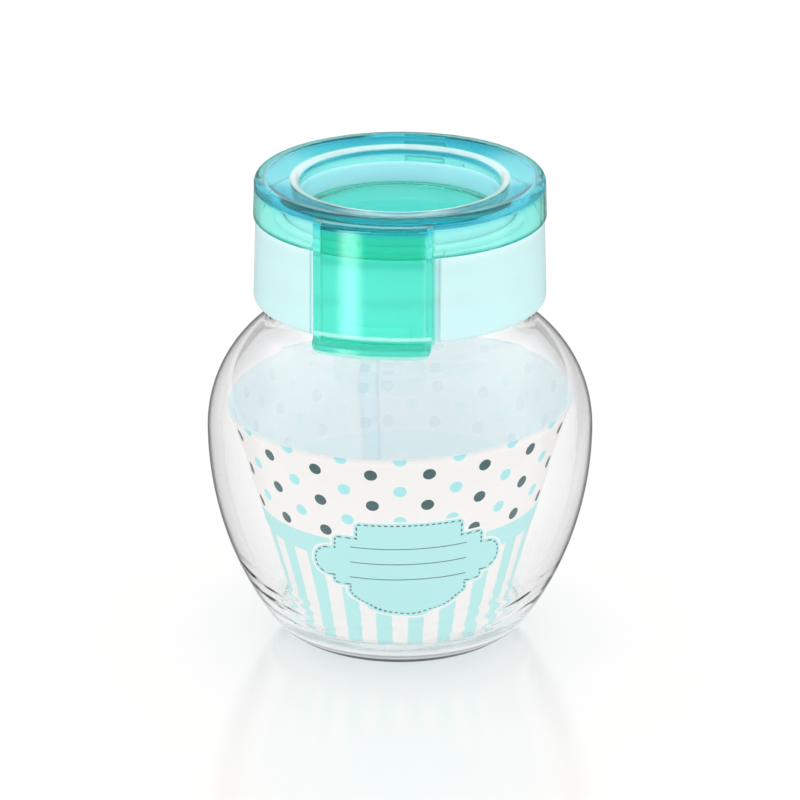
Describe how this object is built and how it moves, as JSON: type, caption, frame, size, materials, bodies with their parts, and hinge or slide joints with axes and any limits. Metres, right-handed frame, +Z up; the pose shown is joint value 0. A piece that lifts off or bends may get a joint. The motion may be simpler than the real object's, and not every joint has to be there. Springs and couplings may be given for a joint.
{
  "type": "spice jar",
  "caption": "Round clear glass spice jar with a printed paper sleeve inside, a screw-on plastic collar and a hinged clear flip lid with a front pull tab.",
  "frame": {"origin": "centre of the base, on the surface the jar stands on", "axes": "+Z up along the jar's axis; the lid's pull tab faces -Y and its hinge lies at +Y"},
  "size_m": [0.076, 0.076, 0.0949],
  "materials": {
    "clear_glass": "clear, polished",
    "printed_paper": "matt paper, aqua stripes and polka dots on white",
    "seal_foam": "matt",
    "mint_plastic": "opaque, satin gloss",
    "pin_steel": "plain",
    "turquoise_plastic": "clear turquoise, gloss",
    "seal_silicone": "translucent, matt"
  },
  "bodies": {
    "jar": {"glass_jar": "clear_glass", "label_sleeve": "printed_paper"},
    "seal_ring": {"neck_seal": "seal_foam"},
    "collar_unit": {"collar": "mint_plastic", "hinge_pin": "pin_steel"},
    "lid_unit": {"lid": "turquoise_plastic", "lid_seal": "seal_silicone"}
  },
  "joints": [
    {"name": "collar_rise", "type": "slide", "parent": "jar", "child": "seal_ring", "axis": [0, 0, 1], "range_m": [0, 0.01501]},
    {"name": "collar_turn", "type": "hinge", "parent": "seal_ring", "child": "collar_unit", "pos_m": [0, 0, 0.0784], "axis": [0, 0, 1], "range_deg": [0, 900]},
    {"name": "lid_hinge", "type": "hinge", "parent": "collar_unit", "child": "lid_unit", "pos_m": [0, 0.031, 0.08735], "axis": [-1, 0, 0], "range_deg": [0, 110]}
  ],
  "couplings": [
    {"joint": "collar_rise", "follows": "collar_turn", "m_per_rad": 0.00095493}
  ]
}
